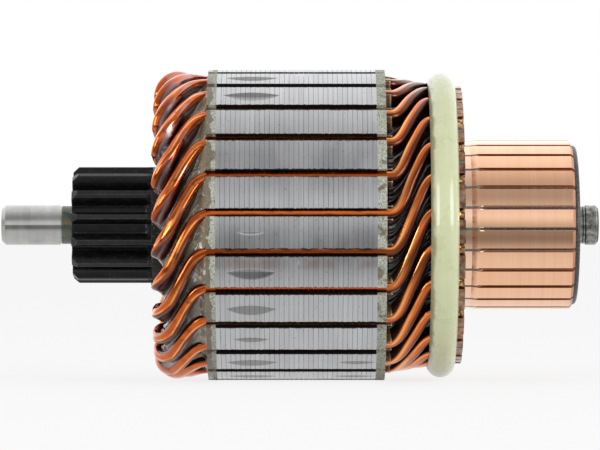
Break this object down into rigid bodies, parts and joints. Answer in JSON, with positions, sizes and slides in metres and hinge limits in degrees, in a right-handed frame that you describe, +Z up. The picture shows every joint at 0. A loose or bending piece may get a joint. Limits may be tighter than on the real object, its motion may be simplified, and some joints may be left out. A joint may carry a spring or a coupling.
{
  "type": "motor armature",
  "caption": "Wound starter-motor armature: steel shaft with a sun gear, slotted laminated core, hairpin winding, glass-fibre band and copper commutator.",
  "frame": {"origin": "on the shaft axis, in the middle of the drive-end journal", "axes": "+X along the shaft from the drive end to the commutator, +Z up"},
  "size_m": [0.1191, 0.062, 0.062],
  "materials": {
    "shaft_steel": "ground",
    "gear_steel": "black oxide",
    "core_steel": "turned across the laminations",
    "insulator_board": "speckled glass-fibre sheet",
    "liner_film": "varnished film",
    "enamelled_copper": "enamelled and varnished",
    "commutator_copper": "turned copper",
    "mica": "cut mica",
    "moulding": "moulded phenolic",
    "band_resin": "glass fibre in resin",
    "interlayer_sheet": "varnished sheet"
  },
  "bodies": {
    "root": {"shaft": "shaft_steel", "sun_gear": "gear_steel", "core_laminations": "core_steel", "end_insulator_drive": "insulator_board", "end_insulator_commutator": "insulator_board", "slot_liners": "liner_film", "interlayer_insulation": "interlayer_sheet", "mica_segments": "mica", "commutator_moulding": "moulding", "glass_band": "band_resin", "hairpin_01": "enamelled_copper", "hairpin_02": "enamelled_copper", "hairpin_03": "enamelled_copper", "hairpin_04": "enamelled_copper", "hairpin_05": "enamelled_copper", "hairpin_06": "enamelled_copper", "hairpin_07": "enamelled_copper", "hairpin_08": "enamelled_copper", "hairpin_09": "enamelled_copper", "hairpin_10": "enamelled_copper", "hairpin_11": "enamelled_copper", "hairpin_12": "enamelled_copper", "hairpin_13": "enamelled_copper", "hairpin_14": "enamelled_copper", "hairpin_15": "enamelled_copper", "hairpin_16": "enamelled_copper", "hairpin_17": "enamelled_copper", "hairpin_18": "enamelled_copper", "hairpin_19": "enamelled_copper", "hairpin_20": "enamelled_copper", "hairpin_21": "enamelled_copper", "hairpin_22": "enamelled_copper", "hairpin_23": "enamelled_copper", "hairpin_24": "enamelled_copper", "hairpin_25": "enamelled_copper", "commutator_bar_01": "commutator_copper", "commutator_bar_02": "commutator_copper", "commutator_bar_03": "commutator_copper", "commutator_bar_04": "commutator_copper", "commutator_bar_05": "commutator_copper", "commutator_bar_06": "commutator_copper", "commutator_bar_07": "commutator_copper", "commutator_bar_08": "commutator_copper", "commutator_bar_09": "commutator_copper", "commutator_bar_10": "commutator_copper", "commutator_bar_11": "commutator_copper", "commutator_bar_12": "commutator_copper", "commutator_bar_13": "commutator_copper", "commutator_bar_14": "commutator_copper", "commutator_bar_15": "commutator_copper", "commutator_bar_16": "commutator_copper", "commutator_bar_17": "commutator_copper", "commutator_bar_18": "commutator_copper", "commutator_bar_19": "commutator_copper", "commutator_bar_20": "commutator_copper", "commutator_bar_21": "commutator_copper", "commutator_bar_22": "commutator_copper", "commutator_bar_23": "commutator_copper", "commutator_bar_24": "commutator_copper", "commutator_bar_25": "commutator_copper"}
  },
  "joints": []
}
